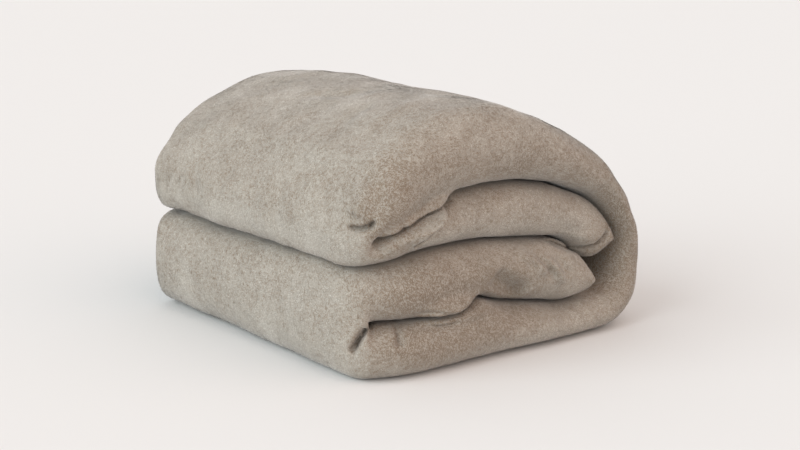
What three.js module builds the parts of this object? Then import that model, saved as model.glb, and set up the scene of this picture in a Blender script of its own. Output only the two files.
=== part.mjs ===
import * as THREE from 'three';

// A plush bed blanket, folded and lying flat on its lowest side. Millimetres, +Z up.
// It is folded in four lengthwise into a strip, both ends of the strip are turned in to the
// middle, and the strip is then shut like a book. So it lies in four passes, one over another:
// bottom pass, lower flap, upper flap, top pass, each of them four layers of cloth.
// X runs from the two round noses (-X) to the spine (+X), Y from the folded edge (-Y) to the
// edge with the free hems (+Y). The origin is on the ground, under the middle.
// In each pair of numbers below, the first holds at the folded edge and the second at the hems.

// Driving dimensions
const depth = 512;            // across the strip, folded edge to hems
const clothBase = 5.2;        // thickness of the cloth if it had no room to loft
const clothLoft = 0.36;       // share of the room for one layer that its pile fills as well
const clothMost = 0.225;      // largest share of a pass that one layer takes
const layerCount = 4;         // layers in a pass
const slit = 3;               // air between two passes that lie on each other

// Heights of the slits and of the top, at four places along X
const heightsAtFold = [
  { x: -195, lowSlit: 57, midSlit: 132, highSlit: 182, top: 262 },
  { x: -85, lowSlit: 66, midSlit: 143, highSlit: 208, top: 311 },
  { x: 35, lowSlit: 56, midSlit: 135, highSlit: 208, top: 295 },
  { x: 141, lowSlit: 49, midSlit: 121, highSlit: 174, top: 243 },
];
const heightsAtHems = [
  { x: -195, lowSlit: 60, midSlit: 130, highSlit: 182, top: 242 },
  { x: -85, lowSlit: 66, midSlit: 134, highSlit: 206, top: 299 },
  { x: 35, lowSlit: 63, midSlit: 133, highSlit: 203, top: 297 },
  { x: 141, lowSlit: 53, midSlit: 106, highSlit: 157, top: 211 },
];
const topDrop = [{ by: 9, over: 0.25 }, { by: 15, over: 0.25 }];  // the top falls to both edges

// Waves of the slits near the folded edge: each lifts one slit round one place. They fade out
// over this share of the depth.
const slitWaves = [
  { slit: 'lowSlit', x: -200, lift: 8, width: 40 },
  { slit: 'lowSlit', x: -45, lift: 11, width: 45 },
  { slit: 'lowSlit', x: 95, lift: -4, width: 40 },
  { slit: 'midSlit', x: 155, lift: -14, width: 50 },
  { slit: 'highSlit', x: -195, lift: -14, width: 60 },
];
const waveFade = 0.3;

// Noses, the round turns at -X: a large power is a square turn, 2 an ellipse, less a pointed one
const upperNose = { pivotX: [-195, -181], reach: [35, 50], powerBelow: 2.9, powerAbove: 1.4 };
const lowerNose = { pivotX: [-199, -180], reach: [33, 56], powerBelow: 2.5, powerAbove: 2.6 };

// Spine, the turn at +X, with the pocket that the flap ends leave inside it
const spine = {
  x: [141, 137], outerReach: [92, 91], innerReach: [47, 43], widest: [0.28, 0.42],
  outerAbove: 1.7, outerBelow: 2.3, innerAbove: 1.85, innerBelow: 2.4, pocketMiddle: 0.45,
};

// Flaps, the two turned-in ends of the strip
const flapEnd = { upper: 170, lower: 141 };           // where they stop along X
const flapRecess = { upper: 12, lower: 5 };           // how far their folded edges sit back
const flapTip = { over: 30, power: 2.6, least: 0.5 };  // they round off to a share of their thickness

// Corners in plan: how far each edge draws in at the noses and at the spine
const corners = {
  noseX: -135, spineX: 155, run: 105, nose: [45, 32], spine: [32, 12], fade: 0.55, most: 1.2,
};
const upperCorner = { noseX: -172, run: 68, fromZ: 120, toZ: 170, fade: 0.5 };  // squarer above

// The turns of the cloth across the strip
const edgeRound = 41;         // how far the rounding of the folded edge reaches in
const foldOuter = 36;         // radius of the outer turn at the folded edge
const foldInner = 11.7;       // radius of the turn inside it
const foldAtHems = 5;         // radius of the turn near the hems
const hemInset = 12;          // from the hems to the last full section of the layers
const innerHemInset = 5;      // how far the hem inside sits back from the other
const hemTip = { thins: 6, narrow: 1.5, share: 0.7 };  // the cloth thins towards the edge of a hem

// Sections along each stretch of the strip, and points across it
const sections = { flap: 9, nose: 10, pass: 10, spine: 12 };
const flapCrowding = 1.3;     // crowds the sections of a flap towards its end
const acrossPoints = 6;
const edgeSteps = { outer: 8, inner: 4, hem: 4 };

const clothColour = 0xa99f93;
const clothRoughness = 0.95;

const mix = (a, b, t) => a + (b - a) * t;
const between = (pair, v) => mix(pair[0], pair[1], ease(v));
const clamp = (t, low = 0, high = 1) => Math.min(Math.max(t, low), high);
const steps = (from, to, count) => Array.from({ length: count }, (_, i) => mix(from, to, i / (count - 1)));
const radians = (degrees) => degrees * Math.PI / 180;

function ease(t) {
  const u = clamp(t);
  return u * u * (3 - 2 * u);
}

// Part of a superellipse: the cosine or sine of the angle, raised so that the turn gets its power.
function bend(value, power) {
  return Math.sign(value) * Math.abs(value) ** (2 / power);
}

// The cubic through one column of a table of heights.
function through(rows, column, x) {
  let sum = 0;
  for (const row of rows) {
    let weight = 1;
    for (const other of rows) {
      if (other !== row) weight *= (x - other.x) / (row.x - other.x);
    }
    sum += row[column] * weight;
  }
  return sum;
}

// Height of a slit, of the top or of the ground, at x and at v. v is 0 at the folded edge and
// 1 at the hems.
function height(name, x, v) {
  if (name === 'ground') return 0;
  let z = mix(through(heightsAtFold, name, x), through(heightsAtHems, name, x), ease(v));
  if (name === 'top') {
    z -= topDrop[0].by * clamp(1 - v / topDrop[0].over) ** 2;
    z -= topDrop[1].by * clamp(1 - (1 - v) / topDrop[1].over) ** 2;
  }
  for (const wave of slitWaves) {
    const here = Math.exp(-(((x - wave.x) / wave.width) ** 2)) * ease(1 - v / waveFade);
    if (wave.slit === name) z += wave.lift * here;
  }
  return z;
}

function slope(name, x, v) {
  return name === 'ground' ? 0 : (height(name, x + 1, v) - height(name, x - 1, v)) / 2;
}

function pocketMiddle(v) {
  const spineX = between(spine.x, v);
  return mix(height('lowSlit', spineX, v), height('highSlit', spineX, v), spine.pocketMiddle);
}

// Height of the strip's inner side under the top pass, or over the bottom pass, and round the
// pocket that the two enclose at the spine. It is what a flap has above or below it.
function pocketHeight(which, x, v) {
  const upper = which === 'upper';
  const name = upper ? 'highSlit' : 'lowSlit';
  const lift = upper ? slit / 2 : -slit / 2;
  const spineX = between(spine.x, v);
  if (x <= spineX) return height(name, x, v) + lift;
  const power = upper ? spine.innerAbove : spine.innerBelow;
  const reached = clamp((x - spineX) / between(spine.innerReach, v));
  const rise = (1 - reached ** power) ** (1 / power);
  const straight = height(name, spineX, v) + lift + slope(name, spineX, v) * (x - spineX);
  return mix(pocketMiddle(v), straight, rise);
}

// A rung is a line across the four layers, from the strip's inner side to its outer side. Besides
// its two ends it holds how far it shares each flap's recess.
function rung(inX, inZ, outX, outZ, recess = {}) {
  return { inX, inZ, outX, outZ, upper: 0, lower: 0, ...recess };
}

// The rungs of a flap, from its end to the nose.
function flapRungs(which, v) {
  const upper = which === 'upper';
  const endX = flapEnd[which];
  const noseX = between((upper ? upperNose : lowerNose).pivotX, v);
  const towardOut = upper ? -1 : 1;
  const rows = [];
  for (const along of steps(0, 1, sections.flap + 1).slice(0, upper ? -1 : undefined)) {
    const x = mix(endX, noseX, along ** flapCrowding);
    const tip = clamp(1 - (endX - x) / flapTip.over);
    const kept = mix(flapTip.least, 1, (1 - tip ** flapTip.power) ** (1 / flapTip.power));
    const inZ = pocketHeight(which, x, v) + towardOut * slit;
    const outZ = height('midSlit', x, v) - towardOut * slit / 2;
    const lost = (outZ - inZ) / 2 * (1 - kept);
    rows.push(rung(x, inZ + lost, x, outZ - lost, { [which]: 1 }));
  }
  return upper ? rows : rows.reverse();
}

// The rungs round a nose, from its lower side to its upper side.
function noseRungs(which, v) {
  const upper = which === 'upper';
  const nose = upper ? upperNose : lowerNose;
  const below = upper ? { name: 'midSlit', lift: slit / 2 } : { name: 'ground', lift: 0 };
  const above = upper ? { name: 'top', lift: 0 } : { name: 'midSlit', lift: -slit / 2 };
  const pivotX = between(nose.pivotX, v);
  const pivotZ = height(upper ? 'highSlit' : 'lowSlit', pivotX, v);
  const reach = between(nose.reach, v);
  const rows = [];
  for (let i = 0; i < sections.nose; i++) {
    const turn = i / sections.nose;
    const angle = Math.PI * (1.5 - turn);
    const c = Math.cos(angle);
    const s = Math.sin(angle);
    const side = s < 0 ? below : above;
    const power = s < 0 ? nose.powerBelow : nose.powerAbove;
    const rise = Math.abs(bend(s, power));
    const x = pivotX + reach * bend(c, power);
    const straight = height(side.name, pivotX, v) + side.lift;
    const limit = straight + slope(side.name, pivotX, v) * (x - pivotX) * rise;
    const inX = pivotX + slit * c;
    const inZ = pivotZ + slit / 2 * s;
    const share = ease(upper ? 1 - turn : turn);
    rows.push(rung(inX, inZ, x, mix(pivotZ, limit, rise), { [which]: share }));
  }
  return rows;
}

// The rungs of the top pass or the bottom pass.
function passRungs(which, v) {
  const top = which === 'top';
  const noseX = between((top ? upperNose : lowerNose).pivotX, v);
  const spineX = between(spine.x, v);
  const inner = top ? 'highSlit' : 'lowSlit';
  const outer = top ? 'top' : 'ground';
  const lift = top ? slit / 2 : -slit / 2;
  const places = top ? steps(noseX, spineX, sections.pass + 1) : steps(spineX, noseX, sections.pass + 1);
  return places.slice(0, -1).map((x) => rung(x, height(inner, x, v) + lift, x, height(outer, x, v)));
}

// The rungs round the spine, from the top pass down to the bottom pass.
function spineRungs(v) {
  const x = between(spine.x, v);
  const outTop = height('top', x, v);
  const outMiddle = outTop * between(spine.widest, v);
  const rows = [];
  for (let i = 0; i < sections.spine; i++) {
    const angle = Math.PI * (0.5 - i / sections.spine);
    const c = Math.cos(angle);
    const s = Math.sin(angle);
    const above = s > 0;
    const outPower = above ? spine.outerAbove : spine.outerBelow;
    const inPower = above ? spine.innerAbove : spine.innerBelow;
    const outAcross = between(spine.outerReach, v) * bend(c, outPower);
    const inAcross = between(spine.innerReach, v) * bend(c, inPower);
    const outRise = Math.abs(bend(s, outPower));
    const outLimit = above ? outTop + slope('top', x, v) * outAcross * outRise : 0;
    const inZ = pocketHeight(above ? 'upper' : 'lower', x + inAcross, v);
    rows.push(rung(x + inAcross, inZ, x + outAcross, mix(outMiddle, outLimit, outRise)));
  }
  return rows;
}

// All rungs, along the strip from the end of the upper flap to the end of the lower one.
function allRungs(v) {
  return [
    ...flapRungs('upper', v),
    ...noseRungs('upper', v),
    ...passRungs('top', v),
    ...spineRungs(v),
    ...passRungs('bottom', v),
    ...noseRungs('lower', v),
    ...flapRungs('lower', v),
  ];
}

// The section of the strip: one closed outline of the cloth as it is folded in four. The cloth
// starts at the hem of layer -1, turns at the folded edge into layer 1, turns back near the hems
// into layer 1/3, and turns inside the first fold into layer -1/3, which ends at the other hem.
// y is the distance from the folded edge, layer the place between the strip's two sides, and
// outY and outLayer point from the middle of the cloth to its face.
function sectionOutline() {
  const points = [];
  const lastFull = depth - hemInset;
  const ahead = steps(edgeRound, lastFull, acrossPoints);
  const back = [...ahead].reverse();
  const run = (layer, face, ys) => ys.forEach((y) => points.push({ y, layer, outY: 0, outLayer: face }));
  const turn = (y, layer, radiusY, radiusLayer, face, from, to, count) => {
    for (let i = 1; i < count; i++) {
      const angle = radians(mix(from, to, i / count));
      const c = Math.cos(angle);
      const s = Math.sin(angle);
      points.push({ y: y + radiusY * c, layer: layer + radiusLayer * s, outY: face * c, outLayer: face * s });
    }
  };
  const hem = (layer, firstFace, tip) => {
    points[points.length - 1].y = tip - hemTip.thins;
    points.push({ y: tip - hemTip.narrow, layer, outY: 0, outLayer: firstFace * hemTip.share });
    points.push({ y: tip, layer, outY: 0, outLayer: 0 });
    points.push({ y: tip - hemTip.narrow, layer, outY: 0, outLayer: -firstFace * hemTip.share });
  };
  run(-1, -1, back);
  points[0].y = depth - hemTip.thins;
  turn(edgeRound, 0, foldOuter, 1, 1, 270, 90, edgeSteps.outer);
  run(1, 1, ahead);
  turn(lastFull, 2 / 3, foldAtHems, 1 / 3, 1, 90, -90, edgeSteps.hem);
  run(1 / 3, -1, back);
  turn(edgeRound, 0, foldInner, 1 / 3, -1, 90, 270, edgeSteps.inner);
  run(-1 / 3, 1, ahead);
  hem(-1 / 3, 1, depth - innerHemInset);
  run(-1 / 3, -1, back);
  points[points.length - acrossPoints].y = depth - innerHemInset - hemTip.thins;
  turn(edgeRound, 0, foldInner, 1 / 3, 1, 270, 90, edgeSteps.inner);
  run(1 / 3, 1, ahead);
  turn(lastFull, 2 / 3, foldAtHems, 1 / 3, -1, -90, 90, edgeSteps.hem);
  run(1, -1, back);
  turn(edgeRound, 0, foldOuter, 1, -1, 90, 270, edgeSteps.outer);
  run(-1, 1, ahead);
  hem(-1, 1, depth);
  return points;
}

// How far a point moves along Y: the flaps sit back and the corners are rounded in plan.
function drawIn(x, v, z, place) {
  const { fromZ, toZ } = upperCorner;
  const high = ease((z - fromZ) / (toZ - fromZ)) * ease(1 - v / upperCorner.fade);
  const noseX = mix(corners.noseX, upperCorner.noseX, high);
  const nose = clamp((noseX - x) / mix(corners.run, upperCorner.run, high), 0, corners.most) ** 2;
  const back = clamp((x - corners.spineX) / corners.run, 0, corners.most) ** 2;
  const recess = flapRecess.upper * place.upper + flapRecess.lower * place.lower;
  const inAtFold = corners.nose[0] * nose + corners.spine[0] * back + recess;
  const inAtHems = corners.nose[1] * nose + corners.spine[1] * back;
  return inAtFold * ease(1 - v / corners.fade) - inAtHems * ease(1 - (1 - v) / corners.fade);
}

// The point of the cloth's face that belongs to one outline point and one rung.
function clothPoint(point, place) {
  const across = Math.hypot(place.outX - place.inX, place.outZ - place.inZ);
  const cloth = Math.min(clothBase + clothLoft * across / layerCount, clothMost * across);
  const offset = point.layer * (across - cloth) / 2 + point.outLayer * cloth / 2;
  const t = 0.5 + offset / across;
  const x = mix(place.inX, place.outX, t);
  const z = mix(place.inZ, place.outZ, t);
  const v = clamp(point.y / depth);
  const y = point.y - depth / 2 + point.outY * cloth / 2 + drawIn(x, v, z, place);
  return new THREE.Vector3(x, y, z);
}

// The closed mesh: the outline's rings along the strip, and a cap on each end.
function foldedClothGeometry() {
  const outline = sectionOutline();
  const rings = outline.map((point) => {
    const rungs = allRungs(clamp(point.y / depth));
    return rungs.map((place) => clothPoint(point, place));
  });
  const count = rings[0].length;
  const positions = rings.flat().flatMap((p) => [p.x, p.y, p.z]);
  const faces = [];
  for (let i = 0; i < rings.length; i++) {
    const a = i * count;
    const b = ((i + 1) % rings.length) * count;
    for (let k = 0; k < count - 1; k++) {
      faces.push(a + k, b + k + 1, b + k, a + k, a + k + 1, b + k + 1);
    }
  }
  for (const k of [0, count - 1]) {
    const end = rings.map((ring) => new THREE.Vector2(ring[k].y, ring[k].z));
    for (const triangle of THREE.ShapeUtils.triangulateShape(end, [])) {
      faces.push(...triangle.map((i) => i * count + k));
    }
  }
  const geometry = new THREE.BufferGeometry();
  geometry.setAttribute('position', new THREE.Float32BufferAttribute(positions, 3));
  geometry.setIndex(faces);
  geometry.computeBoundingBox();
  const middle = geometry.boundingBox.getCenter(new THREE.Vector3());
  geometry.translate(-middle.x, -middle.y, 0);
  geometry.computeVertexNormals();
  return geometry;
}

function blanket() {
  const plush = { color: clothColour, roughness: clothRoughness, metalness: 0 };
  const mesh = new THREE.Mesh(foldedClothGeometry(), new THREE.MeshStandardMaterial(plush));
  mesh.name = 'blanket';
  return mesh;
}

const foldedBlanket = new THREE.Group();
foldedBlanket.name = 'folded_blanket';
foldedBlanket.add(blanket());

export default foldedBlanket;
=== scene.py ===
import math

import bpy
import numpy as np
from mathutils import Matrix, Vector, noise
from mathutils.bvhtree import BVHTree


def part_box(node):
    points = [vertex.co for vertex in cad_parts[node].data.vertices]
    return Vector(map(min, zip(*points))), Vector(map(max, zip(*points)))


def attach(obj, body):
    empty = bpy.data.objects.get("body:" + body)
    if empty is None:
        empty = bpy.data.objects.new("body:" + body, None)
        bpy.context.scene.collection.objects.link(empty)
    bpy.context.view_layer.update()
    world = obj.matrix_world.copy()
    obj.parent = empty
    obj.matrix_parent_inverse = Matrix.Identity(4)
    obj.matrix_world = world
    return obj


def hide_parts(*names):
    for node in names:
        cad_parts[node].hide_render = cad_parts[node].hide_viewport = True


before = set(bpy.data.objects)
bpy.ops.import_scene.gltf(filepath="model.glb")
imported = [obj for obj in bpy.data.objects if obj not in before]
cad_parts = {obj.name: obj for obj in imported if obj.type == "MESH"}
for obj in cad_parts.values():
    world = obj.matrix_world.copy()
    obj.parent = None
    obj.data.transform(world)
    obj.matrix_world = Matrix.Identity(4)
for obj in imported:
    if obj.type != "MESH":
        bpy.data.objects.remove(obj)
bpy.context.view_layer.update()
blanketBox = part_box("blanket")

# A plush bed blanket, folded in four lengthwise, both ends turned in and shut like a book.
# Metres, +Z up. X runs from the two noses (-X) to the spine (+X), Y from the folded edge (-Y)
# to the hems (+Y). In a pair of numbers the first holds at the folded edge, the second at the hems.

# The fold. Its sizes are the solid's, but for the noses, the flap ends, the waves of the slits and
# the middle slit at the folded edge, which are finer or a little different here.
fold = {
    "depth": 0.512,           # across the strip, folded edge to hems
    "clothBase": 0.0052,      # thickness of the cloth with no room to loft
    "clothLoft": 0.36,        # share of the room for one layer that its pile fills as well
    "clothMost": 0.225,       # largest share of a pass that one layer takes
    "layers": 4,              # in each pass
    "slit": 0.003,            # air between two passes
    "edgeRound": 0.041,       # reach of the rounding of the folded edge
    "foldOuter": 0.036,       # radius of the outer turn at the folded edge
    "foldInner": 0.0117,      # radius of the turn inside it
    "foldAtHems": 0.005,      # radius of the turn near the hems
    "hemInset": 0.012,        # from the hems to the last full section
    "innerHem": 0.6,          # share of that inset which the hem inside reaches
    # how both faces close up past the last row: how far out, and how much of the thickness is left
    "hemRound": ((0.55, 0.94), (0.85, 0.62), (1.0, 0.18)),
    "tipAngles": (28, 56, 84),
    "upperNose": {"pivotX": (-0.195, -0.181), "reach": (0.035, 0.050), "below": 3.6, "above": 1.4},
    "lowerNose": {"pivotX": (-0.199, -0.180), "reach": (0.033, 0.056), "below": 2.5, "above": 3.2},
    "spine": {
        "x": (0.141, 0.137), "outerReach": (0.092, 0.091), "innerReach": (0.047, 0.043),
        "widest": (0.28, 0.42), "pocketMiddle": 0.45,
        "outerAbove": 1.7, "outerBelow": 2.3, "innerAbove": 1.85, "innerBelow": 2.4,
    },
    "flapEnd": {"upper": 0.172, "lower": 0.134},
    "flapRecess": {"upper": 0.012, "lower": 0.005},
    # the ends of the flaps round off: over a length, to a share of their thickness, and so much
    # of what is lost comes off the side towards the slit between the two flaps
    "flapTip": {
        "upper": {"over": 0.030, "power": 2.4, "least": 0.62, "atSlit": 0.40},
        "lower": {"over": 0.030, "power": 2.4, "least": 0.70, "atSlit": 0.45},
    },
    "cornerX": (-0.135, 0.155), "cornerRun": 0.105, "cornerFade": 0.55, "cornerMost": 1.2,
    "upperCorner": {"x": -0.172, "run": 0.068, "from": 0.12, "to": 0.17, "fade": 0.5},  # squarer
    "noseCorner": (0.045, 0.032), "spineCorner": (0.032, 0.012),
}

# heights of the slits and of the top at four stations along X
stations = (-0.195, -0.085, 0.035, 0.141)
heightsAtFold = {
    "lowSlit": (0.057, 0.066, 0.056, 0.049),
    "midSlit": (0.134, 0.145, 0.137, 0.122),
    "highSlit": (0.182, 0.208, 0.208, 0.174),
    "top": (0.262, 0.311, 0.295, 0.243),
}
heightsAtHems = {
    "lowSlit": (0.060, 0.066, 0.063, 0.053),
    "midSlit": (0.130, 0.134, 0.133, 0.106),
    "highSlit": (0.182, 0.206, 0.203, 0.157),
    "top": (0.242, 0.299, 0.297, 0.211),
}
topDrop = ({"by": 0.009, "over": 0.25}, {"by": 0.015, "over": 0.25})

# what the hand left in the slits near the folded edge: each row lifts a slit round one place
slitWaves = (
    {"slit": "lowSlit", "x": -0.200, "lift": 0.010, "width": 0.030},
    {"slit": "lowSlit", "x": -0.045, "lift": 0.015, "width": 0.034},
    {"slit": "lowSlit", "x": 0.095, "lift": -0.006, "width": 0.030},
    {"slit": "midSlit", "x": 0.000, "lift": -0.003, "width": 0.110},
    {"slit": "midSlit", "x": 0.148, "lift": -0.034, "width": 0.034},
    {"slit": "highSlit", "x": -0.195, "lift": -0.014, "width": 0.060},
)
waveFade = 0.3

# rungs along each stretch, rows across each run; hidden rows have a rung only every few
fineness = {
    "flap": 120, "nose": 60, "topPass": 110, "spine": 84, "bottomPass": 110,
    "outerFace": 64, "innerFace": 24, "hiddenFace": 10,
    "outerTurn": 44, "innerTurn": 6, "hemTurn": 5, "coarse": 6, "edgeZone": 0.085,
    "seenInside": 0.04,                      # how far in the inner face shows, past the rounding
    "innerCrowd": 1.6, "hiddenCrowd": 1.3,   # rows crowd towards the folded edge
}


def mix(a, b, t):
    return a + (b - a) * t


def ease(t):
    u = np.clip(t, 0, 1)
    return u * u * (3 - 2 * u)


def between(pair, v):
    return mix(pair[0], pair[1], ease(v))


def bend(value, power):  # part of a superellipse
    return np.sign(value) * np.abs(value) ** (2 / power)


def through(values, x):  # the cubic through four stations
    total = 0
    for i, value in enumerate(values):
        weight = 1
        for k, station in enumerate(stations):
            if k != i:
                weight = weight * (x - station) / (stations[i] - station)
        total = total + value * weight
    return total


def heightAt(name, x, v):
    if name == "ground":
        return 0 * x + 0 * v
    z = mix(through(heightsAtFold[name], x), through(heightsAtHems[name], x), ease(v))
    if name == "top":
        atFold = topDrop[0]["by"] * np.clip(1 - v / topDrop[0]["over"], 0, 1) ** 2
        atHems = topDrop[1]["by"] * np.clip(1 - (1 - v) / topDrop[1]["over"], 0, 1) ** 2
        return z - atFold - atHems
    for wave in slitWaves:
        if wave["slit"] == name:
            here = np.exp(-((x - wave["x"]) / wave["width"]) ** 2)
            z = z + wave["lift"] * here * ease(1 - v / waveFade)
    return z


def slopeAt(name, x, v, step=0.001):
    return (heightAt(name, x + step, v) - heightAt(name, x - step, v)) / (2 * step)


def pocketMiddle(v):
    x = between(fold["spine"]["x"], v)
    return mix(heightAt("lowSlit", x, v), heightAt("highSlit", x, v), fold["spine"]["pocketMiddle"])


# the strip's inner side: under the top pass, over the bottom pass, and round the pocket at the spine
def pocketHeight(which, x, v):
    upper = which == "upper"
    slitName = "highSlit" if upper else "lowSlit"
    lift = fold["slit"] / 2 if upper else -fold["slit"] / 2
    spine = fold["spine"]
    spineX = between(spine["x"], v)
    power = spine["innerAbove"] if upper else spine["innerBelow"]
    reached = np.clip((x - spineX) / between(spine["innerReach"], v), 0, 1)
    rise = (1 - reached ** power) ** (1 / power)
    straight = heightAt(slitName, spineX, v) + lift + slopeAt(slitName, spineX, v) * (x - spineX)
    return np.where(x <= spineX, heightAt(slitName, x, v) + lift, mix(pocketMiddle(v), straight, rise))


# Each stretch of the strip gives six arrays: the ends of its rungs on the strip's inner and outer
# side, and how far they share the recess of the flaps. v is a column, the rungs are a row, and the
# seventh array only gives the six their shape.
def stretchOf(v, inX, inZ, outX, outZ, upper=0.0, lower=0.0):
    parts = np.broadcast_arrays(inX, inZ, outX, outZ, upper, lower, 0 * v + 0 * inX)[:6]
    return [np.array(part, dtype=float) for part in parts]


def flapStretch(which, v):
    upper = which == "upper"
    nose = fold["upperNose" if upper else "lowerNose"]
    inner, side = ("highSlit", -1) if upper else ("lowSlit", 1)
    along = np.linspace(0, 1, fineness["flap"] + 1)[None, :]
    along = along[:, :-1] if upper else along
    endX = fold["flapEnd"][which]
    x = mix(endX, between(nose["pivotX"], v), along)
    tip = fold["flapTip"][which]
    end = np.clip(1 - (endX - x) / tip["over"], 0, 1)
    kept = mix(tip["least"], 1, (1 - end ** tip["power"]) ** (1 / tip["power"]))
    inZ = pocketHeight(which, x, v) + side * fold["slit"]
    outZ = heightAt("midSlit", x, v) - side * fold["slit"] / 2
    lost = (outZ - inZ) * (1 - kept)
    shares = {which: 1.0}
    parts = stretchOf(v, x, inZ + lost * (1 - tip["atSlit"]), x, outZ - lost * tip["atSlit"], **shares)
    return parts if upper else [part[:, ::-1] for part in parts]


def noseStretch(which, v):
    upper = which == "upper"
    nose = fold["upperNose" if upper else "lowerNose"]
    slit = fold["slit"]
    below, belowLift = ("midSlit", slit / 2) if upper else ("ground", 0)
    above, aboveLift = ("top", 0) if upper else ("midSlit", -slit / 2)
    pivotX = between(nose["pivotX"], v)
    pivotZ = heightAt("highSlit" if upper else "lowSlit", pivotX, v)
    turn = (np.arange(fineness["nose"]) / fineness["nose"])[None, :]
    angle = math.pi * (1.5 - turn)
    c, s = np.cos(angle), np.sin(angle)
    under = s < 0
    power = np.where(under, nose["below"], nose["above"])
    rise = np.abs(bend(s, power))
    x = pivotX + between(nose["reach"], v) * bend(c, power)
    lean = np.where(under, slopeAt(below, pivotX, v), slopeAt(above, pivotX, v))
    limitBelow = heightAt(below, pivotX, v) + belowLift
    limitAbove = heightAt(above, pivotX, v) + aboveLift
    limit = np.where(under, limitBelow, limitAbove) + lean * (x - pivotX) * rise
    shares = {which: ease(1 - turn if upper else turn)}
    return stretchOf(v, pivotX + slit * c, pivotZ + slit / 2 * s, x, mix(pivotZ, limit, rise), **shares)


def passStretch(which, v):
    top = which == "top"
    noseX = between(fold["upperNose" if top else "lowerNose"]["pivotX"], v)
    spineX = between(fold["spine"]["x"], v)
    inner = "highSlit" if top else "lowSlit"
    lift = fold["slit"] / 2 if top else -fold["slit"] / 2
    count = fineness["topPass" if top else "bottomPass"]
    along = (np.arange(count) / count)[None, :]
    x = mix(noseX, spineX, along) if top else mix(spineX, noseX, along)
    return stretchOf(v, x, heightAt(inner, x, v) + lift, x, heightAt("top" if top else "ground", x, v))


def spineStretch(v):
    spine = fold["spine"]
    x = between(spine["x"], v)
    angle = math.pi * (0.5 - np.arange(fineness["spine"]) / fineness["spine"])[None, :]
    c, s = np.cos(angle), np.sin(angle)
    above = s > 0
    outPower = np.where(above, spine["outerAbove"], spine["outerBelow"])
    inPower = np.where(above, spine["innerAbove"], spine["innerBelow"])
    outAcross = between(spine["outerReach"], v) * bend(c, outPower)
    inAcross = between(spine["innerReach"], v) * bend(c, inPower)
    outRise = np.abs(bend(s, outPower))
    outTop = heightAt("top", x, v)
    outMiddle = outTop * between(spine["widest"], v)
    outLimit = np.where(above, outTop + slopeAt("top", x, v) * outAcross * outRise, 0)
    inZ = np.where(above, pocketHeight("upper", x + inAcross, v), pocketHeight("lower", x + inAcross, v))
    return stretchOf(v, x + inAcross, inZ, x + outAcross, mix(outMiddle, outLimit, outRise))


def allRungs(v):
    stretches = [
        flapStretch("upper", v), noseStretch("upper", v), passStretch("top", v), spineStretch(v),
        passStretch("bottom", v), noseStretch("lower", v), flapStretch("lower", v),
    ]
    return [np.concatenate(parts, axis=1) for parts in zip(*stretches)]


def rungsOutside():
    # per rung, whether its outer end lies on the outside of the stack
    counts = (
        (fineness["flap"], False), (fineness["nose"], True), (fineness["topPass"], True),
        (fineness["spine"], True), (fineness["bottomPass"], False), (fineness["nose"], True),
        (fineness["flap"] + 1, False),
    )
    return np.concatenate([np.full(count, outside) for count, outside in counts])


# The middle of the cloth across the strip, from the hem of the inner side round the folded edge to
# the outer side, and back inside to the other hem. Columns: y, layer, outY, outLayer, fine, where
# outY and outLayer point to one face of the cloth, and fine is 1 on rows whose face there shows.
def clothPath():
    lastFull = fold["depth"] - fold["hemInset"]
    edge = fold["edgeRound"]
    rows = []

    def run(layer, face, count, forward, spread, fine):
        ys = mix(edge, lastFull, np.linspace(0, 1, count) ** spread)
        for y in ys if forward else ys[::-1]:
            rows.append((y, layer, 0, face, y < fine))

    def turn(y, layer, radiusY, radiusLayer, face, start, end, count, fine):
        for i in range(1, count):
            angle = math.radians(mix(start, end, i / count))
            c, s = math.cos(angle), math.sin(angle)
            rows.append((y + radiusY * c, layer + radiusLayer * s, face * c, face * s, fine))

    run(-1, -1, fineness["innerFace"], False, fineness["innerCrowd"], edge + fineness["seenInside"])
    turn(edge, 0, fold["foldOuter"], 1, 1, 270, 90, fineness["outerTurn"], True)
    run(1, 1, fineness["outerFace"], True, 1.0, 1)
    turn(lastFull, 2 / 3, fold["foldAtHems"], 1 / 3, 1, 90, -90, fineness["hemTurn"], True)
    run(1 / 3, -1, fineness["hiddenFace"], False, fineness["hiddenCrowd"], 0)
    turn(edge, 0, fold["foldInner"], 1 / 3, -1, 90, 270, fineness["innerTurn"], False)
    run(-1 / 3, 1, fineness["hiddenFace"], True, fineness["hiddenCrowd"], 0)
    return np.array(rows, dtype=float)


def drawIn(x, v, z, upper, lower):  # the flaps sit back, the corners are rounded in plan
    squarer = fold["upperCorner"]
    high = ease((z - squarer["from"]) / (squarer["to"] - squarer["from"])) * ease(1 - v / squarer["fade"])
    noseStart = mix(fold["cornerX"][0], squarer["x"], high)
    most = fold["cornerMost"]
    nose = np.clip((noseStart - x) / mix(fold["cornerRun"], squarer["run"], high), 0, most) ** 2
    back = np.clip((x - fold["cornerX"][1]) / fold["cornerRun"], 0, most) ** 2
    recess = fold["flapRecess"]["upper"] * upper + fold["flapRecess"]["lower"] * lower
    inAtFold = fold["noseCorner"][0] * nose + fold["spineCorner"][0] * back + recess
    inAtHems = fold["noseCorner"][1] * nose + fold["spineCorner"][1] * back
    atFold = ease(1 - v / fold["cornerFade"])
    atHems = ease(1 - (1 - v) / fold["cornerFade"])
    return inAtFold * atFold - inAtHems * atHems


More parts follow.
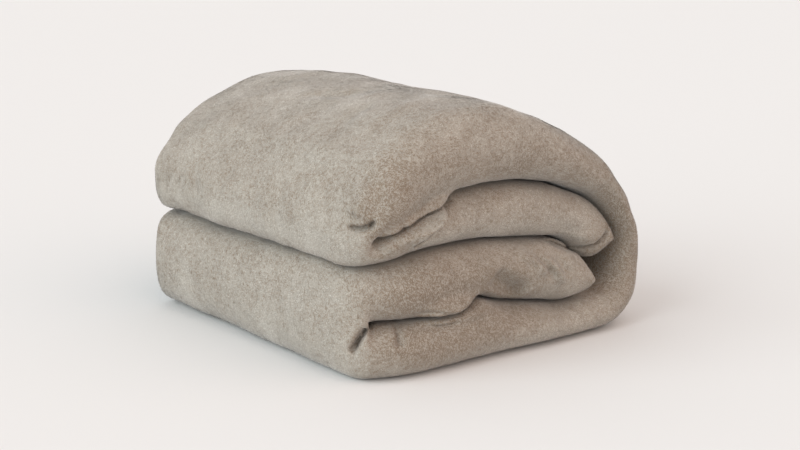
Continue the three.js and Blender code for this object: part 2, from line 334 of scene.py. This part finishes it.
# Both faces of the cloth as grids of points, path across by rungs along.
def clothFaces(path):
    y, layer, outY, outLayer = (path[:, i:i + 1] for i in range(4))
    v = np.clip(y / fold["depth"], 0, 1)
    inX, inZ, outX, outZ, upper, lower = allRungs(v)
    across = np.hypot(outX - inX, outZ - inZ)
    lofted = fold["clothBase"] + fold["clothLoft"] * across / fold["layers"]
    cloth = np.minimum(lofted, fold["clothMost"] * across)
    faces = []
    for side in (1, -1):
        offset = layer * (across - cloth) / 2 + side * outLayer * cloth / 2
        t = 0.5 + offset / across
        x = mix(inX, outX, t)
        z = mix(inZ, outZ, t)
        shift = y - fold["depth"] / 2 + side * outY * cloth / 2
        faces.append(np.stack([x, shift + drawIn(x, v, z, upper, lower), z], axis=-1))
    return faces


def closedUp(sideA, sideB, lengths, shares):
    # past the first and the last row both faces close up in a rounded edge
    middle, half = (sideA + sideB) / 2, (sideA - sideB) / 2
    before, after = [], []
    for end, inward, added in ((0, 1, before), (-1, -2, after)):
        ahead = middle[end] - middle[inward]
        ahead = ahead / np.linalg.norm(ahead, axis=-1, keepdims=True)
        for share, thin in shares:
            m = middle[end] + ahead * lengths[end] * share
            added.append((m + half[end] * thin, m - half[end] * thin))
    rowsA = [a for a, b in reversed(before)] + list(sideA) + [a for a, b in after]
    rowsB = [b for a, b in reversed(before)] + list(sideB) + [b for a, b in after]
    return np.array(rowsA), np.array(rowsB)


def clothMesh():
    path = clothPath()
    sideA, sideB = clothFaces(path)
    hemRound = fold["hemRound"]
    tipRound = [(math.sin(math.radians(a)), math.cos(math.radians(a))) for a in fold["tipAngles"]]
    hemReach = (fold["hemInset"], fold["hemInset"] * fold["innerHem"])
    sideA, sideB = closedUp(sideA, sideB, hemReach, hemRound)
    turnedA, turnedB = np.moveaxis(sideA, 1, 0), np.moveaxis(sideB, 1, 0)
    gaps = [turnedA[end] - turnedB[end] for end in (0, -1)]
    radius = [np.linalg.norm(gap, axis=-1, keepdims=True) / 2 for gap in gaps]
    turnedA, turnedB = closedUp(turnedA, turnedB, radius, tipRound)
    sideA, sideB = np.moveaxis(turnedA, 0, 1), np.moveaxis(turnedB, 0, 1)

    added = len(hemRound)
    fineRow = np.concatenate([np.zeros(added), path[:, 4], np.zeros(added)]).astype(bool)
    fromFold = np.concatenate([np.full(added, path[0, 0]), path[:, 0], np.full(added, path[-1, 0])])
    outline = np.concatenate([sideA, sideB[::-1]])
    fine = np.concatenate([fineRow, np.zeros(len(fineRow), dtype=bool)])
    behind = np.concatenate([fromFold, fromFold[::-1]])
    # a row near the folded edge keeps every rung, a row on the outside keeps them where they show,
    # and a hidden row keeps every few
    rungCount = outline.shape[1]
    every = np.arange(rungCount)
    sparse = (every % fineness["coarse"] == 0) | (every == rungCount - 1)
    outside = np.pad(rungsOutside(), len(tipRound))
    points, edgeDistance, columns, starts, total = [], [], [], [], 0
    for row, isFine, distance in zip(outline, fine, behind):
        nearFold = isFine and distance < fineness["edgeZone"]
        kept = every[sparse | nearFold | (isFine & outside)]
        starts.append(total)
        total += len(kept)
        columns.append(kept)
        points.append(row[kept])
        edgeDistance.append(np.full(len(kept), distance))
    triangles = []
    for i in range(len(outline)):
        j = (i + 1) % len(outline)
        triangles += bridge(columns[i], columns[j], starts[i], starts[j])
    pairs = len(fineRow)
    for i in range(pairs - 1):
        opposite = len(outline) - 1 - i
        rows = (i, i + 1, opposite - 1, opposite)
        for last in (False, True):
            a, b, c, d = (starts[row] + (len(columns[row]) - 1 if last else 0) for row in rows)
            triangles += [(b, a, c), (c, a, d)] if last else [(a, b, c), (a, c, d)]
    return np.concatenate(points), np.array(triangles), np.concatenate(edgeDistance)


# Triangles between two rows of points that keep rungs a and b of the same strip.
def bridge(a, b, startA, startB):
    made, i, k = [], 0, 0
    while i < len(a) - 1 or k < len(b) - 1:
        stepA = i < len(a) - 1 and (k == len(b) - 1 or a[i + 1] <= b[k + 1])
        if stepA:
            made.append((startA + i, startA + i + 1, startB + k))
            i += 1
        else:
            made.append((startA + i, startB + k + 1, startB + k))
            k += 1
    return made


# Creases and ridges, given one by one. Each is a line in the plane of one side of the stack, in the
# columns (across, height) there: (x, z) on the folded edge, (y, z) on the noses, (x, y) on top,
# ((x - y) / root 2, z) at the corner between the noses and the folded edge.
# depth pushes the cloth in where it is above 0 and lifts it where below, width is its half width,
# reach is how far behind the surface it fades out. ends says over which share of the line the
# crease grows and dies away.
creases = (
    # the knuckle where the top pass turns into the nose, squarer than the rest of the edge,
    # and the crack under it, which turns up at its right end
    {"side": "corner", "depth": -0.010, "width": 0.015, "reach": 0.09,
     "line": ((-0.004, 0.195), (0.004, 0.215), (0.008, 0.240))},
    {"side": "corner", "depth": 0.014, "width": 0.0032, "reach": 0.08, "ends": (0.25, 0.25),
     "line": ((-0.012, 0.185), (-0.002, 0.183), (0.008, 0.184), (0.018, 0.188), (0.025, 0.198))},
    # the shut slit between the top pass and the tongue beside the crack: soft, not open
    {"side": "edge", "depth": -0.034, "width": 0.010, "reach": 0.16, "ends": (0.25, 0.3),
     "line": ((-0.205, 0.163), (-0.184, 0.170), (-0.160, 0.180),
              (-0.136, 0.190), (-0.112, 0.200), (-0.080, 0.208))},
    {"side": "edge", "depth": 0.012, "width": 0.008, "reach": 0.07,
     "line": ((-0.188, 0.164), (-0.176, 0.173), (-0.162, 0.184))},
    # the tongue: a groove along its right side, where it overlaps the upper flap, and its lip
    {"side": "edge", "depth": 0.026, "width": 0.0042, "reach": 0.08, "ends": (0.12, 0.05),
     "line": ((-0.153, 0.156), (-0.137, 0.170), (-0.126, 0.179),
              (-0.115, 0.188), (-0.101, 0.198), (-0.086, 0.205))},
    {"side": "edge", "depth": -0.013, "width": 0.008, "reach": 0.08, "ends": (0.3, 0.2),
     "line": ((-0.166, 0.157), (-0.150, 0.171), (-0.138, 0.181), (-0.127, 0.192), (-0.112, 0.203))},
    # the last roll of the upper flap stands apart from the rest of it
    {"side": "edge", "depth": 0.020, "width": 0.0030, "reach": 0.07, "ends": (0.25, 0.1),
     "line": ((0.060, 0.131), (0.090, 0.120), (0.113, 0.109), (0.126, 0.109),
              (0.140, 0.111), (0.152, 0.118), (0.162, 0.131))},
    {"side": "edge", "depth": -0.005, "width": 0.006, "reach": 0.07,
     "line": ((0.050, 0.142), (0.090, 0.133), (0.120, 0.126), (0.140, 0.125))},
    # the dark hollow left of the lower flap's end, and the shell-like ridges over it
    {"side": "edge", "depth": 0.018, "width": 0.012, "reach": 0.09,
     "line": ((-0.036, 0.108), (-0.014, 0.090), (0.010, 0.077), (0.026, 0.072))},
    {"side": "edge", "depth": -0.007, "width": 0.007, "reach": 0.08,
     "line": ((0.006, 0.128), (0.030, 0.115), (0.037, 0.104), (0.041, 0.090))},
    {"side": "edge", "depth": 0.005, "width": 0.005, "reach": 0.08,
     "line": ((0.028, 0.122), (0.046, 0.108), (0.053, 0.095), (0.058, 0.083))},
    {"side": "edge", "depth": -0.007, "width": 0.006, "reach": 0.08,
     "line": ((0.042, 0.118), (0.060, 0.100), (0.068, 0.087), (0.076, 0.076))},
    {"side": "edge", "depth": 0.005, "width": 0.007, "reach": 0.08,
     "line": ((0.066, 0.114), (0.080, 0.098), (0.088, 0.084))},
    # the pinched corner at the lower nose, the upright crease beside it and a small lip on the
    # slit, which is shut there
    {"side": "corner", "depth": 0.022, "width": 0.0036, "reach": 0.08, "ends": (0.15, 0.15),
     "line": ((-0.009, 0.038), (-0.003, 0.048), (0.003, 0.058), (0.010, 0.069))},
    {"side": "edge", "depth": 0.016, "width": 0.0034, "reach": 0.06, "ends": (0.1, 0.3),
     "line": ((-0.163, 0.070), (-0.170, 0.057), (-0.180, 0.038))},
    {"side": "edge", "depth": -0.033, "width": 0.012, "reach": 0.16, "ends": (0.3, 0.65),
     "line": ((-0.158, 0.069), (-0.110, 0.070), (-0.060, 0.074), (0.000, 0.078))},
    {"side": "edge", "depth": 0.007, "width": 0.003, "reach": 0.08,
     "line": ((-0.152, 0.074), (-0.126, 0.075), (-0.100, 0.070))},
    {"side": "edge", "depth": 0.007, "width": 0.003, "reach": 0.08,
     "line": ((-0.148, 0.058), (-0.118, 0.057), (-0.088, 0.059))},
    # soft wrinkles on the noses and along the top
    {"side": "nose", "depth": 0.004, "width": 0.006, "reach": 0.06,
     "line": ((0.170, 0.160), (0.160, 0.178), (0.148, 0.198))},
    {"side": "nose", "depth": 0.003, "width": 0.006, "reach": 0.06,
     "line": ((0.195, 0.160), (0.184, 0.176), (0.171, 0.190))},
    {"side": "nose", "depth": 0.004, "width": 0.009, "reach": 0.06,
     "line": ((0.066, 0.182), (0.056, 0.198), (0.046, 0.216))},
    {"side": "nose", "depth": 0.003, "width": 0.010, "reach": 0.06,
     "line": ((0.143, 0.212), (0.125, 0.190), (0.105, 0.164))},
    {"side": "nose", "depth": 0.003, "width": 0.008, "reach": 0.06,
     "line": ((-0.060, 0.160), (-0.074, 0.185), (-0.080, 0.215))},
    {"side": "top", "depth": 0.004, "width": 0.010, "reach": 0.09,
     "line": ((-0.191, -0.119), (-0.165, -0.110), (-0.139, -0.104), (-0.109, -0.100))},
    {"side": "top", "depth": -0.003, "width": 0.010, "reach": 0.09,
     "line": ((-0.200, -0.142), (-0.172, -0.158), (-0.124, -0.161), (-0.071, -0.160))},
    {"side": "top", "depth": 0.003, "width": 0.010, "reach": 0.09,
     "line": ((-0.125, 0.052), (-0.104, -0.006), (-0.082, -0.048))},
)
plainEnds = (0.25, 0.25)  # of a crease that has no ends of its own

# the cloth's broad unevenness, which fades out towards the underside
unevenness = {
    "swell": 0.0028, "swellSize": 0.11,      # broad, soft
    "ripple": 0.0016, "rippleSize": 0.035,   # small hollows of a hand's making
    "seed": 7,       # a whole number above 0: with 0 the noise would start from the clock
    "flatBelow": 0.03,
}


def nearLine(u, w, line):
    best = np.full(u.shape, 1e9)
    share = np.zeros(u.shape)
    lengths = [math.dist(a, b) for a, b in zip(line, line[1:])]
    gone = 0
    for (a, b), length in zip(zip(line, line[1:]), lengths):
        du, dw = b[0] - a[0], b[1] - a[1]
        t = np.clip(((u - a[0]) * du + (w - a[1]) * dw) / length ** 2, 0, 1)
        distance = np.hypot(u - a[0] - du * t, w - a[1] - dw * t)
        closer = distance < best
        best = np.where(closer, distance, best)
        share = np.where(closer, (gone + t * length) / sum(lengths), share)
        gone += length
    return best, share


def pressCreases(points, fromFold):
    x, y, z = points.T
    diagonal = math.sqrt(0.5)
    toCorner = (x + y) * diagonal
    # per side: the plane's two coordinates, how far behind it a point is, and the way a crease pushes
    sides = {
        "edge": (x, z, fromFold, (0, 1, 0)),
        "nose": (y, z, x - x.min(), (1, 0, 0)),
        "top": (x, y, z.max() - z, (0, 0, -1)),
        "corner": ((x - y) * diagonal, z, toCorner - toCorner.min(), (diagonal, diagonal, 0)),
    }
    pushed = np.zeros(points.shape)
    for crease in creases:
        u, w, behind, way = sides[crease["side"]]
        distance, share = nearLine(u, w, crease["line"])
        grows, dies = crease.get("ends", plainEnds)
        taper = ease(share / grows) * ease((1 - share) / dies)
        fade = ease(1 - behind / crease["reach"])
        push = crease["depth"] * np.exp(-(distance / crease["width"]) ** 2) * taper * fade
        pushed += push[:, None] * np.array(way)
    return points + pushed


def soften(points):
    noise.seed_set(unevenness["seed"])
    swellStart = Vector((unevenness["seed"], 0, 0))
    rippleStart = Vector((0, unevenness["seed"], 0))
    shift = np.zeros(points.shape)
    for i, point in enumerate(points):
        place = Vector(point)
        swell = noise.noise_vector(place / unevenness["swellSize"] + swellStart)
        ripple = noise.noise_vector(place / unevenness["rippleSize"] + rippleStart)
        shift[i] = swell * unevenness["swell"] + ripple * unevenness["ripple"]
    shift[:, 2] *= ease(points[:, 2] / unevenness["flatBelow"])
    return points + shift


def meshObject(name, points, faces):
    mesh = bpy.data.meshes.new(name)
    corners = faces.shape[1]
    mesh.vertices.add(len(points))
    mesh.vertices.foreach_set("co", np.asarray(points, dtype=np.float32).ravel())
    mesh.loops.add(faces.size)
    mesh.loops.foreach_set("vertex_index", faces.astype(np.int32).ravel())
    mesh.polygons.add(len(faces))
    mesh.polygons.foreach_set("loop_start", np.arange(0, faces.size, corners, dtype=np.int32))
    mesh.polygons.foreach_set("use_smooth", np.full(len(faces), True))
    mesh.update(calc_edges=True)
    mesh.validate()
    piece = bpy.data.objects.new(name, mesh)
    bpy.context.scene.collection.objects.link(piece)
    return piece


# Shader maths: a socket with operators, so that sums of nodes read as sums.
class Socket:
    def __init__(self, tree, socket):
        self.tree, self.socket = tree, socket

    def node(self, kind, settings=None, inputs=None, output=0):
        made = self.tree.nodes.new(kind)
        for name, value in (settings or {}).items():
            if name == "stops":
                ramp = made.color_ramp.elements
                while len(ramp) < len(value):
                    ramp.new(0.5)
                for element, (position, colour) in zip(ramp, value):
                    element.position, element.color = position, (*colour, 1)
            else:
                setattr(made, name, value)
        for name, value in (inputs or {}).items():
            if isinstance(value, Socket):
                self.tree.links.new(value.socket, made.inputs[name])
            else:
                made.inputs[name].default_value = value
        return Socket(self.tree, made.outputs[output])

    def maths(self, operation, first, second):
        return self.node("ShaderNodeMath", {"operation": operation}, {0: first, 1: second})

    def __add__(self, other):
        return self.maths("ADD", self, other)

    def __sub__(self, other):
        return self.maths("SUBTRACT", self, other)

    def __rsub__(self, other):
        return self.maths("SUBTRACT", other, self)

    def __mul__(self, other):
        return self.maths("MULTIPLY", self, other)

    __radd__, __rmul__ = __add__, __mul__


plush = {
    "colour": (0.388, 0.352, 0.303),     # linear
    "shade": 0.92,                       # of the cloth between the pile: darker, painted shade at the pile's roots
    "dark": (0.66, 0.57, 0.49),          # of the pile's darkest and palest fibres; the warm dark end also carries the painted shade, the cool pale end the painted light
    "light": (1.30, 1.34, 1.37),
    "patchScale": 38.0, "grainScale": 420.0,     # per metre, of the cloth between the pile
    "clothTones": (0.86, 1.12),
    "bump": 0.5, "bumpHeight": 0.0015,
    "roughness": 0.92, "specular": 0.2, "sheen": 0.35, "sheenRoughness": 0.45,
}


def plushMaterial(name, strength):
    material = bpy.data.materials.new(name)
    material.use_nodes = True
    tree = material.node_tree
    shader = tree.nodes["Principled BSDF"]
    shader.inputs["Roughness"].default_value = plush["roughness"]
    shader.inputs["Specular IOR Level"].default_value = plush["specular"]
    shader.inputs["Sheen Weight"].default_value = plush["sheen"]
    shader.inputs["Sheen Roughness"].default_value = plush["sheenRoughness"]
    shader.inputs["Base Color"].default_value = (*(c * k for c, k in zip(plush["colour"], strength)), 1)
    return material, tree, shader


def clothMaterial():
    # the cloth between the fibres is darker: painted shade at the pile's roots
    material, tree, shader = plushMaterial("plush cloth", [plush["shade"]] * 3)
    start = Socket(tree, None)
    place = start.node("ShaderNodeTexCoord", output="Object")
    patchInputs = {"Vector": place, "Scale": plush["patchScale"], "Detail": 3.0}
    patches = start.node("ShaderNodeTexNoise", None, patchInputs)
    grainInputs = {"Vector": place, "Scale": plush["grainScale"], "Detail": 2.0}
    grain = start.node("ShaderNodeTexNoise", None, grainInputs)
    tone = patches * 0.5 + grain * 0.5
    base = [c * plush["shade"] for c in plush["colour"]]
    darker, paler = plush["clothTones"]
    stops = [(0.3, [c * darker for c in base]), (0.7, [c * paler for c in base])]
    colour = start.node("ShaderNodeValToRGB", {"stops": stops}, {0: tone})
    tree.links.new(colour.socket, shader.inputs["Base Color"])
    bumpInputs = {"Height": grain, "Strength": plush["bump"], "Distance": plush["bumpHeight"]}
    bump = start.node("ShaderNodeBump", None, bumpInputs)
    tree.links.new(bump.socket, shader.inputs["Normal"])
    return material


# The blanket
pileInset = 0.001  # from the solid's box to the cloth


def fitToSolid(points):
    # the cloth keeps just inside the solid's box, so that the pile's tips end near its faces
    low, high = points.min(0), points.max(0)
    boxLow, boxHigh = np.array(blanketBox[0]), np.array(blanketBox[1])
    inset = np.array([pileInset, pileInset, 0])
    wanted = (boxHigh - boxLow) - np.array([2, 2, 1]) * pileInset
    return (points - low) * wanted / (high - low) + boxLow + inset


points, triangles, fromFold = clothMesh()
points = fitToSolid(soften(pressCreases(points, fromFold)))
blanket = meshObject("blanket_cloth", points, triangles)
blanket.data.materials.append(clothMaterial())
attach(blanket, "root")
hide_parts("blanket")
print("cloth:", len(triangles), "triangles")

# The pile: short combed fibres on every face that shows, as joined meshes of one-triangle tufts
pile = {
    "tufts": 760000, "pieces": 4,
    "length": 0.0024, "lengthSpread": 0.25, "lengthRange": (0.4, 1.7),
    "width": 0.0010, "widthRange": (0.7, 1.25),
    "rise": (0.05, 0.22),                 # radians off the cloth, as it lies combed over
    "stray": 0.55, "roll": 0.08,          # each lies its own way, and turned a little about itself
    "nap": (0.25, -0.2, -0.55),           # the main way it lies, turned by as much over such a size
    "napTurn": 1.6, "napSize": 0.045, "seed": 21,
    "tones": 7, "patches": ((0.035, 0.25), (0.012, 0.25), (0.0045, 0.45)), "toneSpread": 0.24,
    # a face shows if a ray from it, in one of these ways round its normal, meets no cloth for so long
    "openReach": 0.04, "openLift": 0.0008,
    "openWays": (
        (0, 0, 1), (1, 0, 0.9), (-0.5, 0.87, 0.9), (-0.5, -0.87, 0.9), (0.5, 0.87, 0.35), (-1, 0, 0.35),
    ),
    "bareBelow": 0.004, "bareLean": -0.5,   # the underside, so low and facing down so far, has none
    "lowestTip": 0.0002,
    "roundness": 0.9,                    # share of the cloth's own normal in a tuft's shading
    "blockX": 0.12, "blockZ": 0.1, "rowOfBlocks": 10,   # tufts near each other go to one piece
}


# painted shade and painted light in the pile's tone where the shading falls short, and nap streaks: below 0
# the fibres are darker, above 0 paler
paintedShadeLightAndNap = (
    # painted shade: the knuckle and the folded edge of the top pass beside it, which turn away from the key
    {"at": (-0.205, -0.235, 0.214), "radii": (0.040, 0.034, 0.038), "tone": -0.90},
    {"at": (-0.145, -0.225, 0.250), "radii": (0.060, 0.036, 0.036), "tone": -0.40},
    {"at": (-0.100, -0.165, 0.300), "radii": (0.060, 0.040, 0.030), "tone": -0.25},
    {"at": (0.000, -0.235, 0.235), "radii": (0.090, 0.030, 0.026), "tone": -0.45},
    {"at": (0.120, -0.225, 0.215), "radii": (0.050, 0.034, 0.030), "tone": -0.40},
    {"at": (-0.170, -0.225, 0.175), "radii": (0.030, 0.030, 0.016), "tone": -0.35},
    # painted shade inside the spine's pocket
    {"at": (0.192, -0.220, 0.140), "radii": (0.036, 0.060, 0.060), "tone": -1.00},
    {"at": (0.185, -0.220, 0.070), "radii": (0.036, 0.060, 0.030), "tone": -1.00},
    # painted shade on the lower flap and the corner below it
    {"at": (-0.150, -0.240, 0.105), "radii": (0.065, 0.034, 0.038), "tone": -0.85},
    {"at": (-0.040, -0.245, 0.095), "radii": (0.070, 0.036, 0.036), "tone": -0.80},
    {"at": (-0.140, -0.245, 0.048), "radii": (0.070, 0.034, 0.024), "tone": -0.95},
    {"at": (-0.020, -0.235, 0.052), "radii": (0.075, 0.034, 0.020), "tone": -0.90},
    # painted light, paler: the underside of the upper flap, the lower flap's end and the foot of the stack
    {"at": (-0.060, -0.240, 0.156), "radii": (0.090, 0.030, 0.014), "tone": 0.45},
    {"at": (0.075, -0.240, 0.142), "radii": (0.060, 0.030, 0.016), "tone": 0.40},
    {"at": (0.070, -0.245, 0.062), "radii": (0.050, 0.030, 0.018), "tone": 0.30},
    {"at": (0.060, -0.240, 0.012), "radii": (0.130, 0.040, 0.016), "tone": 0.40},
    # streaks along the top and the noses: painted light across the top and beside the crease between the
    # noses, with darker nap streaks
    {"at": (-0.200, 0.020, 0.230), "radii": (0.050, 0.070, 0.050), "tone": -0.12},
    {"at": (-0.235, -0.060, 0.060), "radii": (0.030, 0.080, 0.050), "tone": 0.12},
    {"at": (-0.235, -0.020, 0.158), "radii": (0.050, 0.230, 0.018), "tone": 0.50},
    {"at": (-0.235, 0.000, 0.020), "radii": (0.050, 0.260, 0.022), "tone": 0.30},
    {"at": (-0.225, 0.050, 0.118), "radii": (0.050, 0.120, 0.014), "tone": -0.15},
    {"at": (-0.130, -0.100, 0.300), "radii": (0.050, 0.020, 0.030), "tone": 0.18},
    {"at": (-0.020, 0.050, 0.305), "radii": (0.090, 0.160, 0.030), "tone": 0.22},
)


def facesThatShow(points, triangles):
    tree = BVHTree.FromPolygons([tuple(p) for p in points], [tuple(t) for t in triangles.tolist()])
    corners = points[triangles]
    centre = corners.mean(1)
    normal = np.cross(corners[:, 1] - corners[:, 0], corners[:, 2] - corners[:, 0])
    area = np.linalg.norm(normal, axis=1) / 2
    normal /= 2 * area[:, None] + 1e-12
    ways = [Vector(way).normalized() for way in pile["openWays"]]
    shows = np.zeros(len(triangles), dtype=bool)
    for i in range(len(triangles)):
        if centre[i, 2] < pile["bareBelow"] and normal[i, 2] < pile["bareLean"]:
            continue
        n = Vector(normal[i])
        turn = n.to_track_quat("Z", "Y").to_matrix()
        start = Vector(centre[i]) + n * pile["openLift"]
        shows[i] = any(tree.ray_cast(start, turn @ way, pile["openReach"])[0] is None for way in ways)
    return shows, area


shows, areas = facesThatShow(points, triangles)
print("faces that show:", int(shows.sum()), "of", len(triangles), "area", round(float(areas[shows].sum()), 3))


def growPile():
    random = np.random.default_rng(pile["seed"])
    shown = np.flatnonzero(shows)
    picked = shown[random.choice(len(shown), size=pile["tufts"], p=areas[shown] / areas[shown].sum())]
    s, t = random.random((2, len(picked), 1))
    outside = s + t > 1
    s, t = np.where(outside, 1 - s, s), np.where(outside, 1 - t, t)
    corners, normals = points[triangles[picked]], smoothNormals[triangles[picked]]
    root = corners[:, 0] + (corners[:, 1] - corners[:, 0]) * s + (corners[:, 2] - corners[:, 0]) * t
    up = unit(normals[:, 0] + (normals[:, 1] - normals[:, 0]) * s + (normals[:, 2] - normals[:, 0]) * t)
    comb = napDirection(root) + random.normal(size=root.shape) * pile["stray"]
    comb = unit(comb - up * (comb * up).sum(1, keepdims=True))
    rise = random.uniform(*pile["rise"], size=(len(picked), 1))
    way = comb * np.cos(rise) + up * np.sin(rise)
    length = 1 + pile["lengthSpread"] * random.normal(size=(len(picked), 1))
    length = pile["length"] * length.clip(*pile["lengthRange"])
    side = unit(np.cross(up, comb) + up * random.normal(size=length.shape) * pile["roll"])
    side *= pile["width"] / 2 * random.uniform(*pile["widthRange"], size=length.shape)
    tufts = np.stack([root + side, root - side, root + way * length], axis=1)
    tufts[:, :, 2] = np.maximum(tufts[:, :, 2], pile["lowestTip"])
    shade = unit(mix(up, way, 1 - pile["roundness"]))
    tone = 0.5 + random.normal(size=len(picked)) * pile["toneSpread"]
    for size, share in pile["patches"]:
        tone += share * np.array([noise.noise(Vector(place) / size) for place in root])
    # painted shade and painted light: each spot makes the fibres around it darker or paler
    for spot in paintedShadeLightAndNap:
        away = ((root - np.array(spot["at"])) / np.array(spot["radii"])) ** 2
        tone += spot["tone"] * np.exp(-away.sum(1))
    return tufts, shade, tone.clip(0, 0.999), root


def unit(vectors):
    return vectors / (np.linalg.norm(vectors, axis=1, keepdims=True) + 1e-12)


def napDirection(places):
    # which way the pile lies: one main way, turned here and there where a hand has brushed it
    turned = np.zeros(places.shape)
    for i, place in enumerate(places):
        turned[i] = noise.noise_vector(Vector(place) / pile["napSize"])
    return turned * pile["napTurn"] + np.array(pile["nap"])


blanket.data.update()
smoothNormals = np.zeros(len(points) * 3, dtype=np.float32)
blanket.data.vertices.foreach_get("normal", smoothNormals)
smoothNormals = smoothNormals.reshape(-1, 3).astype(float)

tufts, tuftNormals, tuftTones, tuftRoots = growPile()
tones = []
for i in range(pile["tones"]):
    strength = mix(np.array(plush["dark"]), np.array(plush["light"]), i / (pile["tones"] - 1))
    tones.append(plushMaterial("plush pile %d" % (i + 1), strength)[0])
blockColumn = np.round(tuftRoots[:, 0] / pile["blockX"])
blockRow = np.round(tuftRoots[:, 2] / pile["blockZ"])
order = np.argsort(blockColumn * pile["rowOfBlocks"] + blockRow, kind="stable")
for i, part in enumerate(np.array_split(order, pile["pieces"])):
    corners = tufts[part].reshape(-1, 3)
    piece = meshObject("pile_%d" % (i + 1), corners, np.arange(len(corners)).reshape(-1, 3))
    for tone in tones:
        piece.data.materials.append(tone)
    piece.data.polygons.foreach_set("material_index", (tuftTones[part] * pile["tones"]).astype(np.int32))
    piece.data.normals_split_custom_set_from_vertices(np.repeat(tuftNormals[part], 3, axis=0))
    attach(piece, "root")

# Stage: a pale floor, the room's even light, a broad soft key from the noses' side and a warm fill
# from the folded edge's side
stage = {
    "floorSize": 40.0, "floorColour": (0.785, 0.79, 0.79),
    "floorRoughness": 0.9, "floorSpecular": 0.1,
    "roomColour": (0.87, 0.875, 0.87), "roomLight": 0.76,
    "keyFrom": (-0.85, 0.05, 0.36), "keyPower": 2.15, "keySpread": 60.0,
    "keyColour": (0.94, 1.02, 1.05),
    "fillFrom": (0.25, -0.8, 0.75), "fillPower": 0.85, "fillSpread": 80.0,
    "fillColour": (1.22, 0.80, 0.62),
}


def sunLight(name, comesFrom, power, spread, colour):
    light = bpy.data.lights.new(name, "SUN")
    light.energy, light.angle, light.color = power, math.radians(spread), colour
    lamp = bpy.data.objects.new(name, light)
    lamp.rotation_euler = Vector(comesFrom).to_track_quat("Z", "Y").to_euler()
    bpy.context.scene.collection.objects.link(lamp)


def makeStage():
    half = stage["floorSize"] / 2
    corners = np.array([(-half, -half, 0), (half, -half, 0), (half, half, 0), (-half, half, 0)])
    floor = meshObject("floor", corners, np.array([[0, 1, 2, 3]]))
    material = bpy.data.materials.new("pale floor")
    material.use_nodes = True
    shader = material.node_tree.nodes["Principled BSDF"]
    shader.inputs["Base Color"].default_value = (*stage["floorColour"], 1)
    shader.inputs["Roughness"].default_value = stage["floorRoughness"]
    shader.inputs["Specular IOR Level"].default_value = stage["floorSpecular"]
    floor.data.materials.append(material)
    world = bpy.data.worlds.new("studio")
    bpy.context.scene.world = world
    world.use_nodes = True
    background = world.node_tree.nodes["Background"]
    background.inputs["Color"].default_value = (*stage["roomColour"], 1)
    background.inputs["Strength"].default_value = stage["roomLight"]
    sunLight("key", stage["keyFrom"], stage["keyPower"], stage["keySpread"], stage["keyColour"])
    sunLight("fill", stage["fillFrom"], stage["fillPower"], stage["fillSpread"], stage["fillColour"])


camera = {
    "azimuth": -38.23, "elevation": 13.19, "distance": 2.106,
    "target": (0.01895, 0.0107, 0.1136), "lens": 72.0, "sensor": 36.0,
}


def makeCamera():
    a, e = math.radians(camera["azimuth"]), math.radians(camera["elevation"])
    back = Vector((math.sin(a) * math.cos(e), -math.cos(a) * math.cos(e), math.sin(e)))
    view = bpy.data.cameras.new("camera")
    view.lens, view.sensor_width = camera["lens"], camera["sensor"]
    eye = bpy.data.objects.new("camera", view)
    eye.location = Vector(camera["target"]) + back * camera["distance"]
    eye.rotation_euler = back.to_track_quat("Z", "Y").to_euler()
    bpy.context.scene.collection.objects.link(eye)
    bpy.context.scene.camera = eye


makeStage()
makeCamera()
bpy.context.scene.view_settings.view_transform = "Standard"
print("stage and camera made")

bpy.context.view_layer.update()
